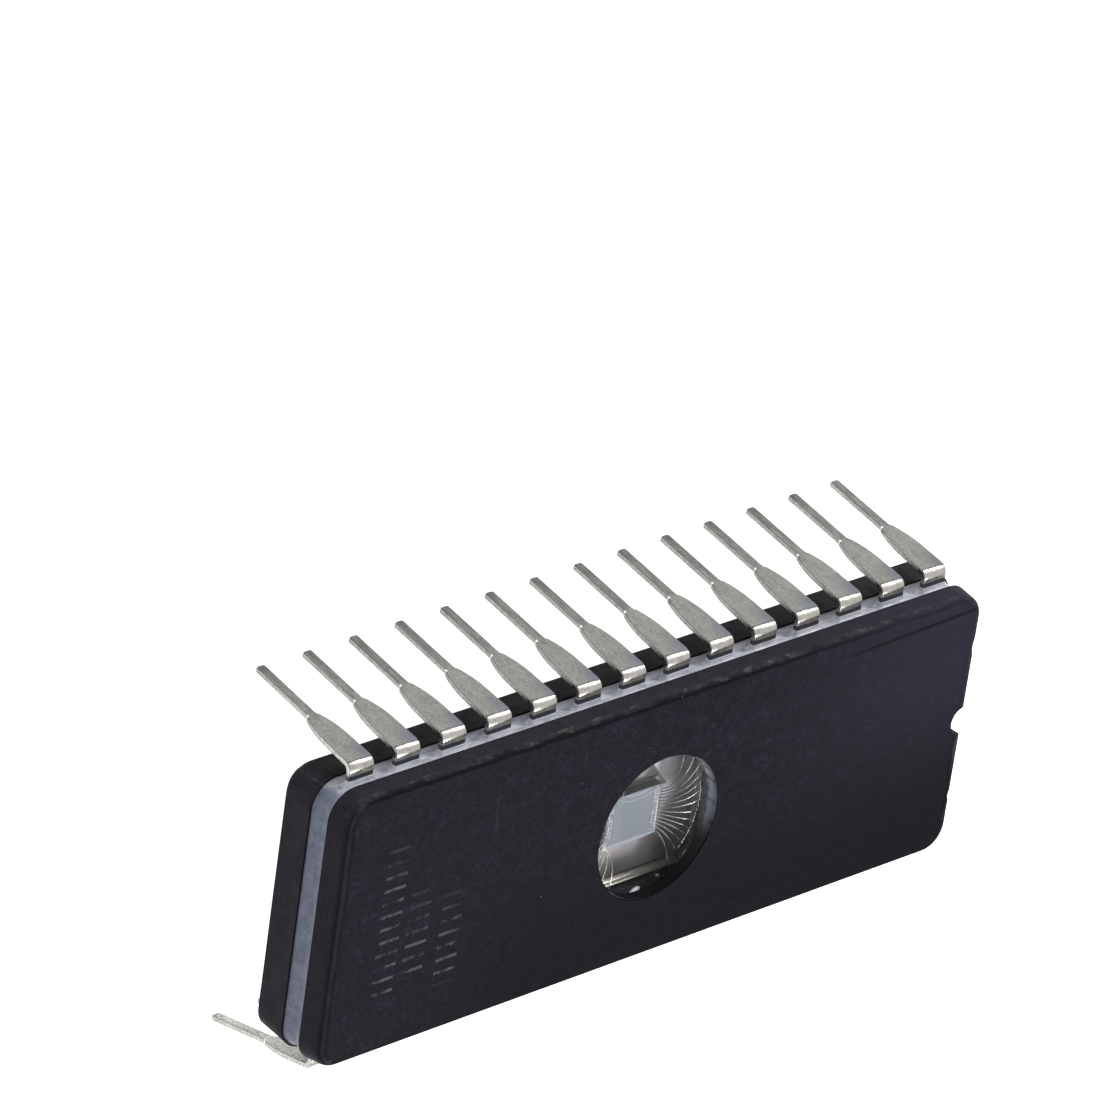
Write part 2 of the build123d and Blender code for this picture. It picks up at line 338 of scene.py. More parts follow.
FLOOR_BROWN_PATCH = (0.3, 0.255, 0.2)
WALL_BROWN = (0.26, 0.235, 0.21)
WALL_PALE = (0.4, 0.37, 0.33)
WALL_HIGHLIGHT_CREAM = (0.98, 0.93, 0.82)


def rounded_rectangle(length, width, corner, per_corner):
    """Closed outline of a rectangle with round corners: each corner is a quarter circle about its own
    centre, and straight runs join them. Gives the points and the outward directions, as rows."""
    angle = np.linspace(0, np.pi / 2, per_corner)
    turns = np.concatenate([angle + quarter * np.pi / 2 for quarter in range(4)])
    centre_x = np.repeat([1, -1, -1, 1], per_corner) * (length / 2 - corner)
    centre_y = np.repeat([1, 1, -1, -1], per_corner) * (width / 2 - corner)
    outward = np.stack([np.cos(turns), np.sin(turns)], 1)
    return np.stack([centre_x, centre_y], 1) + corner * outward, outward


def make_piece(name, grids, finish, closed_rows=False):
    """A mesh of one or more grids of points in millimetres, each (rows, columns, 3) and closed along its
    columns. The rows may be closed too, and if not, the first and last are capped. Faces are the quads
    between neighbours, all made at once."""
    points, faces, start = [], [], 0
    for grid in grids:
        rows, columns = grid.shape[:2]
        index = np.arange(rows * columns).reshape(rows, columns) + start
        beside = np.roll(index, -1, 1)
        corners = np.stack([index, beside, np.roll(beside, -1, 0), np.roll(index, -1, 0)], -1)
        if closed_rows:
            faces += corners.reshape(-1, 4).tolist()
        else:
            faces += corners[:-1].reshape(-1, 4).tolist()
            faces += [index[0][::-1].tolist(), index[-1].tolist()]
        points.append(grid.reshape(-1, 3) * MM)
        start += rows * columns
    mesh = bpy.data.meshes.new(name)
    mesh.from_pydata(np.concatenate(points).tolist(), [], faces)
    mesh.materials.append(finish.material)
    mesh.update()
    mesh.polygons.foreach_set("use_smooth", [True] * len(mesh.polygons))
    piece = bpy.data.objects.new(name, mesh)
    bpy.context.scene.collection.objects.link(piece)
    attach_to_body(piece, "root")
    return piece


def carry_round(outline, outward, profile):
    """Carries a profile of (distance outward, height) points round a closed outline."""
    profile = np.asarray(profile)
    sideways = outline[None, :, :] + profile[:, 0][:, None, None] * outward[None, :, :]
    upwards = np.broadcast_to(profile[:, 1][:, None, None], sideways.shape[:2] + (1,))
    return np.concatenate([sideways, upwards], 2)


def film_profile():
    """Section of the wall film, as distances outward from the cavity's outline and heights: along the
    floor, round a concave quarter circle, up the wall, and back by the film's thickness behind it."""
    foot = -FILM_OFF_WALL - FILM_FILLET
    turn = np.linspace(0, np.pi / 2, FILLET_POINTS)
    rise = FLOOR_TOP + FILM_FILLET * (1 - np.cos(turn))
    fillet = np.stack([foot + FILM_FILLET * np.sin(turn), rise], 1)
    start = [[foot - FILM_ON_FLOOR, FLOOR_TOP]]
    end = [[-FILM_THICKNESS, CAVITY_RIM_HEIGHT - FILM_UNDER_RIM]]
    face = np.concatenate([start, fillet, end])
    back = face[::-1] + [FILM_THICKNESS, -FILM_THICKNESS]
    return np.concatenate([face, back])


film = Finish("cavity_metal_film", FILM_BROWN, 0.5, Metallic=0.25)
x, y, z = film.axes()
cloud = film.patches(1.1, 0.3, 0.72, 4.0, 0.6)
tone = film.blend(cloud, FLOOR_GREY, FLOOR_PALE)

# Painted shadow toward the notch, where the window's rim shades the floor; painted shade toward -y on
# the left, which damps the lamp's highlight; and painted light in the corner toward the notch and lead 1,
# darker where the lamp lights it and paler where the cap shades it
tone = film.tint(tone, FLOOR_RIM_SHADOW, film.step(x, *RIM_SHADOW_ALONG_X), film.step(y, *RIM_SHADOW_ALONG_Y), 0.8)
tone = film.tint(tone, FLOOR_HIGHLIGHT_SHADE, film.step(x, *HIGHLIGHT_SHADE_ALONG_X), film.step(y, *HIGHLIGHT_SHADE_ALONG_Y), 0.7)
painted_corner_light = film.blend(film.step(x, *CORNER_PALES_ALONG_X), FLOOR_CORNER_DARK, FLOOR_CORNER_LIGHT)
tone = film.tint(tone, painted_corner_light, film.step(x, *CORNER_ALONG_X), film.step(y, *CORNER_ALONG_Y), 0.85)

# Painted shade: a dark wedge beside the die, up to a slanting line, with a brown patch in it
past_line = film.past(x, y, SHADE_WEDGE_LINE, SHADE_WEDGE_SQUARE)
wedge_shade = film.times(film.step(past_line, *SHADE_WEDGE_EDGE), film.step(y, *SHADE_WEDGE_ALONG_Y))
tone = film.tint(tone, FLOOR_WEDGE_SHADE, wedge_shade, 0.93)
from_patch = film.radius(x, y, BROWN_PATCH)
tone = film.tint(tone, FLOOR_BROWN_PATCH, film.step(from_patch, *BROWN_PATCH_RADII), 0.8)
film.feed("Base Color", tone)
film.feed("Roughness", film.step(cloud, 0.0, 1.0, 0.42, 0.56))
film.bump(film.noise(14.0, 2.0), 0.004, 0.6)
dress(["cavity_plating"], film)

wall_film = Finish("cavity_wall_film", FILM_BROWN, 0.36, Metallic=0.7)
x, y, z = wall_film.axes()
tone = wall_film.blend(wall_film.noise(1.6), WALL_BROWN, WALL_PALE)
# Painted highlight: a cream line along the fillet of the -y wall, fading toward the notch
fillet_highlight = wall_film.times(wall_film.step(y, -2.9, -3.2), wall_film.step(x, 3.9, 1.5, 0.5, 1.0))
wall_film.feed("Base Color", wall_film.tint(tone, WALL_HIGHLIGHT_CREAM, fillet_highlight))
wall_film.bump(wall_film.noise(10.0, 2.0), 0.003, 0.4)
rim, rim_outward = rounded_rectangle(CAVITY_LENGTH, CAVITY_WIDTH, CAVITY_CORNER, CAVITY_CORNER_POINTS)
wall_grid = carry_round(rim, rim_outward, film_profile())[::-1]
make_piece("cavity_wall_film", [wall_grid], wall_film, closed_rows=True)

# Die and its bonding layer
# A memory die sawn from a polished wafer, set in a layer of metal-filled glass. The cell array shows
# as a pale field of fine lines, the drivers as strips beside it, and the pads stand along each end.

DIE_LOW, DIE_HIGH = ([edge / MM for edge in corner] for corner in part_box("silicon_die"))
DIE_MIDDLE = [(low + high) / 2 for low, high in zip(DIE_LOW, DIE_HIGH)]
ARRAY_HALF_LENGTH = 1.0
ARRAY_HALF_WIDTH = 1.02
PAD_STRIP = 1.12
SPINE_FROM_MIDDLE = 0.62
SPINE_HALF_WIDTH = (0.035, 0.02)
DIE_SAWN_X = (1.5, 1.52)
DIE_SAWN_Y = (1.17, 1.18)
RING_CENTRE = (0.1, 1.6)
RING_SQUASH = (0.6, 1.0)
ROW_WAVE = 95.0
COLUMN_WAVE = 60.0
BOND_BROWN = (0.1, 0.09, 0.08)
BOND_GREY = (0.24, 0.21, 0.18)
ARRAY_PALE = (0.135, 0.155, 0.18)
ARRAY_LINE = (0.17, 0.19, 0.215)
DRIVER_DULL = (0.1, 0.112, 0.135)
DRIVER_GREY = (0.16, 0.17, 0.195)
DRIVER_LINE = (0.23, 0.245, 0.27)
STRIP_PALE = (0.24, 0.255, 0.3)
RING_PALE = (0.36, 0.39, 0.45)
PAD_STRIP_DARK = (0.11, 0.12, 0.15)
PAD_STRIP_CRUMB = (0.38, 0.39, 0.42)
LOWER_EDGE_PALE = (0.36, 0.38, 0.45)
SAWN_EDGE = (0.2, 0.215, 0.25)
PAD_METAL = (0.62, 0.6, 0.56)

attach = Finish("die_bond_layer", (0.16, 0.14, 0.12), 0.5, Metallic=0.4)
attach.feed("Base Color", attach.blend(attach.noise(3.0), BOND_BROWN, BOND_GREY))
attach.bump(attach.noise(8.0), 0.01, 0.6)
dress(["die_attach"], attach)

die = Finish("memory_die", ARRAY_PALE, 0.45, Specular_IOR_Level=0.3)
x, y, z = die.axes()
from_x = die.distance(x, DIE_MIDDLE[0])
from_y = die.distance(y, DIE_MIDDLE[1])
rows = die.math("SINE", die.times(y, ROW_WAVE))
columns = die.math("SINE", die.times(x, COLUMN_WAVE))
weave = die.step(die.plus(rows, columns), -1.2, 1.6)
brick = {"Vector": die.place(), "Scale": 7.0, "Mortar Size": 0.03, "Brick Width": 0.9, "Row Height": 0.35}
brick.update({"Color1": DRIVER_DULL, "Color2": DRIVER_GREY, "Mortar": DRIVER_LINE})
past_array = die.step(from_x, ARRAY_HALF_LENGTH, ARRAY_HALF_LENGTH + 0.03)
past_array = die.larger(past_array, die.step(from_y, ARRAY_HALF_WIDTH, ARRAY_HALF_WIDTH + 0.03))
spine_x = DIE_MIDDLE[0] - SPINE_FROM_MIDDLE
spine = die.step(die.distance(x, spine_x), *SPINE_HALF_WIDTH)
in_driver = die.larger(past_array, spine)
tone = die.blend(in_driver, die.blend(weave, ARRAY_PALE, ARRAY_LINE), die.node("TexBrick", brick))
tone = die.tint(tone, STRIP_PALE, die.step(x, spine_x + 0.02, spine_x - 0.02), 0.2)
ring = die.radius(x, y, RING_CENTRE, RING_SQUASH)
bands = die.step(die.math("SINE", die.times(ring, 26.0)), 0.2, 0.9)
tone = die.tint(tone, RING_PALE, bands, die.step(ring, 1.15, 0.95), die.step(y, 0.2, 0.7), 0.55)
in_pad_strip = die.step(from_x, PAD_STRIP, PAD_STRIP + 0.06)
tone = die.tint(tone, PAD_STRIP_DARK, in_pad_strip, 0.6)
tone = die.tint(tone, PAD_STRIP_CRUMB, in_pad_strip, die.patches(9.0, 0.46, 0.6, 3.0, 0.7), 0.9)
tone = die.tint(tone, LOWER_EDGE_PALE, die.step(y, DIE_LOW[1] + 0.2, DIE_LOW[1] + 0.06), 0.7)
sawn = die.larger(die.step(from_x, *DIE_SAWN_X), die.step(from_y, *DIE_SAWN_Y))
tone = die.tint(tone, SAWN_EDGE, sawn)
on_pad = die.step(z, DIE_HIGH[2] - 0.006, DIE_HIGH[2] - 0.003)
die.feed("Base Color", die.tint(tone, PAD_METAL, on_pad))
die.feed("Metallic", die.times(on_pad, 0.9))
die.bump(die.plus(in_driver, die.times(weave, 0.3)), 0.002, 0.5)
dress(["silicon_die"], die)

# Leads
# Two combs of nickel-iron strip, stamped, laid in the soft glass, bent down after firing and dipped
# in tin. The outer faces have dulled, the inner faces and the flat above the bend are painted lit pale,
# the cut edges are paler with a painted highlight beside painted shade on the round corners, and a dark
# strip of bare oxidised metal is left where each lead comes out of the glass.

LEADS = [name for name in nodes if name.startswith("lead_")]
LEAD_TOP = 6.68
LEAD_PITCH = 2.54
LEAD_EDGE_SOFTENING = 0.05
STEM_TOP = 3.42
LEAF_HEIGHTS = (4.9, 6.2)
FLAT_HEIGHTS = (6.45, 6.6)
OUTSIDE_BEND = (7.1, 7.3)
FLAT_FOOT = (7.0, 6.8)
BARE_REACH = (6.8, 6.62)
BARE_HEIGHTS = (6.3, 6.4)
BURNISHED_HEIGHTS = (6.1, 6.3)
BURNISHED_REACH = (6.75, 6.9)
STEM_CORNER = (0.2, 0.23)
FACES_INWARD = (-0.3, -0.7)
CUT_EDGE = (0.9, 0.97)
CAVITY_EDGE_X = (5.2, 4.9)
CAVITY_EDGE_Y = (4.8, 4.5)
LIT_DIRECTION = (1.0, 0.6)
LIT_BAND = (2.2, 3.6)
TIN_DULL = (0.15, 0.147, 0.135)
TIN_GREY = (0.3, 0.293, 0.27)
TIN_STAIN_AND_SHADE = (0.095, 0.096, 0.105)
TIN_BLUED = (0.135, 0.145, 0.17)
TIN_PAINTED_LIT = (0.66, 0.64, 0.61)
TIN_EDGE_AND_HIGHLIGHT = (0.68, 0.665, 0.63)
TIN_FLAT = (0.96, 0.92, 0.84)
TIN_FLAT_FOOT = (0.55, 0.535, 0.51)
TIN_STEP_HIGHLIGHT = (0.9, 0.88, 0.84)
FINGER_GREY = (0.42, 0.43, 0.48)
BARE_OXIDE = (0.13, 0.13, 0.135)


def in_cavity(finish, x, y):
    """1 inside the edge of the cavity in plan, and 0 outside it."""
    within_length = finish.step(finish.distance(x), *CAVITY_EDGE_X)
    return finish.times(within_length, finish.step(finish.distance(y), *CAVITY_EDGE_Y))


def toward_light(finish, x, y, least):
    """Rises from least to 1 across the cavity, toward the corner that is lit through the window."""
    return finish.step(finish.past(x, y, (0, 0), LIT_DIRECTION), *LIT_BAND, least, 1.0)


tin = Finish("dull_tinned_lead", TIN_DULL, 0.34, Metallic=1.0)
x, y, z = tin.axes()
from_gap = tin.minus(tin.math("FRACT", tin.math("DIVIDE", x, LEAD_PITCH)), 0.5)
across = tin.times(from_gap, LEAD_PITCH)
row_distance = tin.distance(y)
facing = tin.parts(tin.node("NewGeometry", output="Normal"))
outwards = tin.times(facing[1], tin.math("SIGN", y))
sideways = tin.distance(facing[0])

# Dulled faces, with pits, a blued patch on the leaf and drawn lines on the stem
grain = tin.noise(10.0, 5.0, 0.8, stretch=(1, 1, 0.7))
streak = tin.noise(1.5, 5.0, 0.65, stretch=(2.2, 2.2, 0.4))
tone = tin.blend(tin.step(tin.plus(tin.times(streak, 0.5), grain), 0.5, 1.0), TIN_DULL, TIN_GREY)
tone = tin.tint(tone, TIN_STAIN_AND_SHADE, tin.patches(1.5, 0.56, 0.7, 5.0, 0.7), 0.5)
tone = tin.tint(tone, TIN_STAIN_AND_SHADE, tin.patches(5.0, 0.68, 0.73, 2.0), 0.75)
on_leaf = tin.times(tin.step(z, *LEAF_HEIGHTS), tin.step(row_distance, *OUTSIDE_BEND))
blued = tin.step(tin.plus(tin.times(across, 0.5), streak), 0.25, 0.85)
tone = tin.tint(tone, TIN_BLUED, on_leaf, blued)
on_stem = tin.step(z, STEM_TOP + 0.25, STEM_TOP - 0.2)
drawn_line = tin.patches(1.0, 0.35, 0.65, stretch=(6, 6, 0.25))
tone = tin.tint(tone, TIN_STAIN_AND_SHADE, on_stem, drawn_line, 0.6)

# Painted sheen: the flat above the bend is painted bright, greyer toward the glass
on_flat = tin.step(z, *FLAT_HEIGHTS)
flat_tone = tin.blend(tin.patches(1.5, 0.2, 0.5, stretch=(3.0, 0.4, 0.4)), TIN_PAINTED_LIT, TIN_FLAT)
flat_tone = tin.tint(flat_tone, TIN_FLAT_FOOT, tin.step(row_distance, *FLAT_FOOT))
tone = tin.tint(tone, flat_tone, on_flat, 0.85)
tone = tin.tint(tone, TIN_STAIN_AND_SHADE, tin.patches(3.1, 0.55, 0.64, 4.0, 0.7), on_flat, 0.2)

# Painted light: the inner faces are painted lit pale, the round corners carry painted shade, the cut
# edges are paler with a painted highlight, and a painted highlight sits at the step where the stem begins
lit_inner_faces = tin.blend(tin.step(grain, 0.4, 0.62), TIN_PAINTED_LIT, TIN_GREY)
tone = tin.tint(tone, lit_inner_faces, tin.step(outwards, *FACES_INWARD))
tone = tin.tint(tone, TIN_STAIN_AND_SHADE, tin.step(sideways, 0.3, 0.45), tin.step(sideways, 0.92, 0.8), 0.7)
cut_edge_and_highlight = tin.blend(tin.step(grain, 0.35, 0.7), TIN_EDGE_AND_HIGHLIGHT, TIN_GREY)
tone = tin.tint(tone, cut_edge_and_highlight, tin.step(sideways, *CUT_EDGE))
at_stem_top = tin.step(tin.distance(z, STEM_TOP), 0.1, 0.04)
tone = tin.tint(tone, TIN_STEP_HIGHLIGHT, at_stem_top, tin.step(tin.distance(across), *STEM_CORNER))

# Bare metal at the glass, and painted light on the finger tips in the cavity, paler toward the lit corner
by_glass = tin.times(tin.step(row_distance, *BARE_REACH), tin.step(z, *BARE_HEIGHTS))
wavering = tin.minus(tin.noise(3.5, 4.0, 0.7), 0.5)
bare = tin.step(tin.plus(by_glass, wavering), 0.35, 0.65)
tone = tin.tint(tone, tin.blend(grain, BARE_OXIDE, TIN_STAIN_AND_SHADE), bare)
tone = tin.tint(tone, FINGER_GREY, in_cavity(tin, x, y), toward_light(tin, x, y, 0.15))
tin.feed("Base Color", tone)

burnished = tin.times(tin.step(z, *BURNISHED_HEIGHTS), tin.step(row_distance, *BURNISHED_REACH))
rough = tin.minus(tin.step(streak, 0.25, 0.75, 0.3, 0.42), tin.times(burnished, 0.12))
tin.feed("Roughness", tin.larger(rough, tin.times(bare, 0.5)))
dented = tin.plus(tin.times(grain, 0.1), tin.noise(1.8, 2.0))
tin.bump(tin.times(dented, tin.step(z, 6.1, 6.4, 1.0, 0.12)), 0.02, 0.4)
dress(LEADS, tin)
for name in LEADS:
    soften(name, LEAD_EDGE_SOFTENING, 3, whole_faces=True)

# Sealing glass
# Grey-blue solder glass, printed on both slabs as a paste and melted, so that it runs round every
# lead. It is clouded with dark specks, climbs a little way out on each lead, and left a few beads.

ROW_FACE = SLAB_WIDTH / 2 - 0.14
LEAD_WIDTH = 1.33
LEAD_THICKNESS = 0.25
LEADS_IN_A_ROW = 14
MENISCUS_START = ROW_FACE - 0.1
MENISCUS_REACH = 0.3
MENISCUS_MARGIN = 0.27
LAST_MARGIN = 0.02
MENISCUS_CORNER = 0.06
MENISCUS_CORNER_POINTS = 5
MENISCUS_RINGS = 7
BEAD_RINGS = 11
BEAD_SIDES = 18
BEAD_POLE = 0.08
BESIDE_LEADS = (6.0, 6.2)
UNDER_CAP_HEIGHTS = (6.88, 6.97)
GLASS_GREY_BLUE = (0.12, 0.14, 0.215)
GLASS_CLOUD = (0.195, 0.22, 0.3)
GLASS_SPECK = (0.055, 0.06, 0.075)
GLASS_STREAK = (0.64, 0.65, 0.72)
GLASS_UNDER_CAP = (0.34, 0.34, 0.33)
GLASS_INSIDE_SHADE = (0.02, 0.022, 0.03)
GLASS_INSIDE_LIT = (0.3, 0.32, 0.4)
BEAD_GREY = (0.7, 0.72, 0.74)
BEAD_CLEAR = (0.95, 0.96, 0.96)
BEADS = np.array([
    # x, y, z, half length, half width, turn
    [0.12, -3.56, 6.62, 0.36, 0.12, -0.22],
    [-0.36, -3.57, 6.78, 0.24, 0.045, -0.5],
    [1.83, -3.56, 6.2, 0.12, 0.09, 1.3],
    [2.05, -3.57, 6.42, 0.1, 0.07, -0.3],
    [2.97, -3.57, 6.24, 0.06, 0.045, 0.0],
    [-1.03, -3.57, 6.5, 0.1, 0.04, -0.4],
])

sealing = Finish("sealing_glass", GLASS_GREY_BLUE, 0.38)
x, y, z = sealing.axes()
cloud = sealing.patches(1.2, 0.38, 0.66, 5.0, 0.65)
tone = sealing.blend(cloud, GLASS_GREY_BLUE, GLASS_CLOUD)
tone = sealing.tint(tone, GLASS_SPECK, sealing.patches(3.0, 0.5, 0.68, 5.0, 0.75), 0.7)
beside_leads = sealing.step(sealing.distance(y), *BESIDE_LEADS)
drawn = sealing.step(sealing.noise(0.8, 5.0, 0.7, stretch=(1.2, 4.0, 4.0)), 0.3, 0.62, 0.35, 1.0)
tone = sealing.tint(tone, GLASS_STREAK, beside_leads, drawn, 0.9)
tone = sealing.tint(tone, GLASS_UNDER_CAP, sealing.step(z, *UNDER_CAP_HEIGHTS), 0.45)
# Painted light and shade inside the cavity: dark in the cap's shadow, paler toward the corner lit through
# the window
inner = sealing.blend(toward_light(sealing, x, y, 0.0), GLASS_INSIDE_SHADE, GLASS_INSIDE_LIT)
sealing.feed("Base Color", sealing.tint(tone, inner, in_cavity(sealing, x, y)))
sealing.feed("Roughness", sealing.step(cloud, 0.0, 1.0, 0.3, 0.46))
sealing.bump(sealing.noise(2.4, 4.0), 0.03, 0.5)
dress(["seal_glass"], sealing)


def meniscus(lead_x, side):
    """Glass drawn out round a lead: rings of a rounded rectangle about the lead's section, whose margin
    falls with a power of the distance out from the body, to almost nothing on the metal."""
    out = np.linspace(0, 1, MENISCUS_RINGS)
    wave = 1 + 0.12 * np.sin(37 * lead_x + 5 * out)
    margin = (LAST_MARGIN + MENISCUS_MARGIN * (1 - out) ** 2.2) * wave
    ring, outward = rounded_rectangle(LEAD_WIDTH, LEAD_THICKNESS, MENISCUS_CORNER, MENISCUS_CORNER_POINTS)
    flat = ring[None, :, :] + margin[:, None, None] * outward[None, :, :]
    along = np.broadcast_to((MENISCUS_START + MENISCUS_REACH * out)[:, None], flat.shape[:2])
    height = LEAD_TOP - LEAD_THICKNESS / 2 + flat[..., 1]
    grid = np.stack([lead_x + flat[..., 0], side * along, height], -1)
    return grid[::-1] if side > 0 else grid


def bead(x, y, z, half_length, half_width, turn):
    """Drop of glass: an ellipsoid whose points go round it by longitude and down it by latitude,
    a little fatter at one end, turned in the plane of the wall it hangs on."""
    latitude = np.linspace(BEAD_POLE, np.pi - BEAD_POLE, BEAD_RINGS)[:, None]
    longitude = np.linspace(0, 2 * np.pi, BEAD_SIDES, endpoint=False)[None, :]
    girth = half_width * (1 + 0.25 * np.cos(latitude)) * np.sin(latitude)
    along = half_length * np.cos(latitude) * np.ones_like(longitude)
    up = girth * np.cos(longitude)
    out = girth * np.sin(longitude)
    run = x + along * np.cos(turn) - up * np.sin(turn)
    rise = z + along * np.sin(turn) + up * np.cos(turn)
    return np.stack([run, y + out, rise], -1)


lead_places = (np.arange(LEADS_IN_A_ROW) - (LEADS_IN_A_ROW - 1) / 2) * LEAD_PITCH
for side, row in ((1, "pos_y"), (-1, "neg_y")):
    rings = [meniscus(lead_x, side) for lead_x in lead_places]
    make_piece(f"glass_drawn_onto_leads_{row}", rings, sealing)

bead_glass = Finish("clear_glass_bead", (0.75, 0.77, 0.78), 0.12, Metallic=0.3)
bead_glass.feed("Base Color", bead_glass.blend(bead_glass.noise(6.0), BEAD_GREY, BEAD_CLEAR))
bead_glass.bump(bead_glass.noise(5.0), 0.01, 0.5)
make_piece("glass_beads", [bead(*row) for row in BEADS], bead_glass)

# Bond wires
# Aluminium wire, wedge-bonded from each pad of the die to the tip of a lead. Each wire stands up from
# its flattened foot on the pad, runs over in a low loop and comes down to a second foot on the lead.

WIRE_RADIUS = 0.019
PAD_FROM_MIDDLE = 1.43
PAD_PITCH = 0.155
LOOP_RISE = 0.17
BOND_FROM_TIP = 0.25
WIRE_POINTS = 33
WIRE_SIDES = 8
FOOT_RINGS = 2
FOOT_WIDENED = 1.7
FOOT_FLATTENED = 0.6
DIE_HALF_LENGTH = 1.5
CLEAR_OF_DIE = (0.1, 0.8)
FAR_CORNER_X = (1.0, 1.6)
FAR_CORNER_Y = (0.1, 0.7)
LIT_CENTRE = (-0.3, 1.0, 6.6)
LIT_RADIUS = 3.15
WIRE_DARK = (0.08, 0.078, 0.08)
WIRE_BRIGHT = (1.0, 0.98, 0.92)

wire = Finish("aluminium_wire", (0.6, 0.6, 0.6), 0.25, Metallic=1.0)
x, y, z = wire.axes()
from_lit = wire.node("VectorMath", {0: wire.place(), 1: LIT_CENTRE}, output="Value", operation="DISTANCE")
lit = wire.step(from_lit, LIT_RADIUS + 0.2, LIT_RADIUS)
off_die = wire.minus(wire.distance(x, DIE_MIDDLE[0]), DIE_HALF_LENGTH)
clear_of_die = wire.larger(wire.step(off_die, *CLEAR_OF_DIE, 0.25, 1.0), wire.step(x, 0.0, -0.5))
clear_of_die = wire.larger(clear_of_die, wire.step(y, 0.1, -0.4))
lit = wire.larger(wire.times(lit, clear_of_die), wire.step(x, -1.0, -1.5))
far_corner = wire.times(wire.step(x, *FAR_CORNER_X), wire.step(y, *FAR_CORNER_Y))
lit = wire.times(lit, wire.step(far_corner, 0.0, 1.0, 1.0, 0.32))
wire.feed("Base Color", wire.blend(lit, WIRE_DARK, WIRE_BRIGHT))
wire.feed("Roughness", wire.step(wire.noise(6.0), 0.3, 0.7, 0.16, 0.3))
wire.bump(wire.noise(30.0), 0.001, 0.5)


def bond_spot(name):
    """Where the wire lands on a lead: its inner tip is the two top corners nearest the middle, and the
    wire's foot lies a short way back from them, toward the next two corners."""
    mesh = nodes[name].data
    corners = np.empty(len(mesh.vertices) * 3)
    mesh.vertices.foreach_get("co", corners)
    corners = corners.reshape(-1, 3) / MM
    on_top = np.abs(corners[:, 2] - LEAD_TOP) < SAME_POINT
    corners = np.unique(np.round(corners[on_top], 4), axis=0)
    order = np.argsort(np.hypot(corners[:, 0], corners[:, 1]))
    tip = corners[order[:2]].mean(0)
    back = corners[order[2:4]].mean(0) - tip
    return tip + back / np.linalg.norm(back) * BOND_FROM_TIP


def wire_line(pad, spot):
    """Centre line of one wire: in plan it leaves square to the die and bends toward the lead, and its
    height stands up steeply from the pad, peaks early and falls in a long curve to the lead."""
    share = np.linspace(0, 1, WIRE_POINTS) ** 1.4
    plan = pad[None, :2] + np.stack([share ** 0.9, share ** 1.25], 1) * (spot - pad)[None, :2]
    climb = (spot[2] - pad[2]) * (1 - (1 - share) ** 5)
    loop = LOOP_RISE * (1 - (2 * share - 1) ** 2) ** 0.8
    height = pad[2] + climb + loop + WIRE_RADIUS * FOOT_FLATTENED
    return np.concatenate([plan, height[:, None]], 1)


def wire_tube(line):
    """Round tube along a line: rings of points square to it. At each end the ring is squashed to
    a wedge foot, wide and flat."""
    ahead = np.gradient(line, axis=0)
    ahead /= np.linalg.norm(ahead, axis=1)[:, None]
    level = np.cross(ahead, [0, 0, 1])
    level /= np.linalg.norm(level, axis=1)[:, None]
    upright = np.cross(level, ahead)
    turn = np.linspace(0, 2 * np.pi, WIRE_SIDES, endpoint=False)
    from_end = np.minimum(np.arange(len(line)), np.arange(len(line))[::-1])
    wide = WIRE_RADIUS * np.where(from_end < FOOT_RINGS, FOOT_WIDENED, 1.0)
    thick = WIRE_RADIUS * np.where(from_end < FOOT_RINGS, FOOT_FLATTENED, 1.0)
    sideways = level[:, None, :] * (wide[:, None] * np.cos(turn))[..., None]
    tube = line[:, None, :] + sideways + upright[:, None, :] * (thick[:, None] * np.sin(turn))[..., None]
    return tube[:, ::-1]


spots = [bond_spot(name) for name in LEADS]
die_top_middle = np.array([DIE_MIDDLE[0], DIE_MIDDLE[1], DIE_HIGH[2]])
pad_places = (np.arange(LEADS_IN_A_ROW) - (LEADS_IN_A_ROW - 1) / 2) * PAD_PITCH
for end, node in ((1, "bond_wires_notch_end"), (-1, "bond_wires_plain_end")):
    own_spots = [spot for spot in spots if spot[0] * end > 0]
    own_spots.sort(key=lambda spot: np.arctan2(spot[1], spot[0] * end))
    pads = [die_top_middle + [end * PAD_FROM_MIDDLE, pad_y, 0] for pad_y in pad_places]
    tubes = [wire_tube(wire_line(pad, spot)) for pad, spot in zip(pads, own_spots)]
    fan = make_piece(node.replace("bond_wires", "wire_loops"), tubes, wire)
    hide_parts(node)

# Cap slab
# The upper half of the package, of the same fired ceramic, with a round hole for the window. Its long
# edge is rubbed pale, and the ink that was stamped near the plain end has almost worn off.

CAP_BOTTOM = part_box("ceramic_cap")[0][2] / MM
CAP_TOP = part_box("ceramic_cap")[1][2] / MM
CAP_PAINTED_SHEEN = (0.026, 0.0255, 0.042)
CAP_PAINTED_SHADE = (0.0024, 0.002, 0.0042)
INK_GREY = (0.2, 0.2, 0.225)
INK_HALF_WIDTH = 0.57
INK_BAR_PITCH = 0.62
INK_BAR_HALF = 0.09
INK_EDGE = 0.05
SCUFF_SLOPE = 0.03
SCUFF_AT = 5.07
SCUFF_HALF_WIDTH = (0.13, 0.04)
SCUFF_ALONG_X = (9.5, 12.0)
INK_ROWS = (
    # x of the row, and where it starts and ends along y
    (-15.1, 3.9, -3.9),
    (-13.5, 1.2, -3.2),
    (-11.6, 0.6, -4.0),
)

cap, tone = fired_ceramic("black_ceramic_cap", CAP_TOP, corner_line=0.0, row_shade=0.25)
x, y, z = cap.axes()
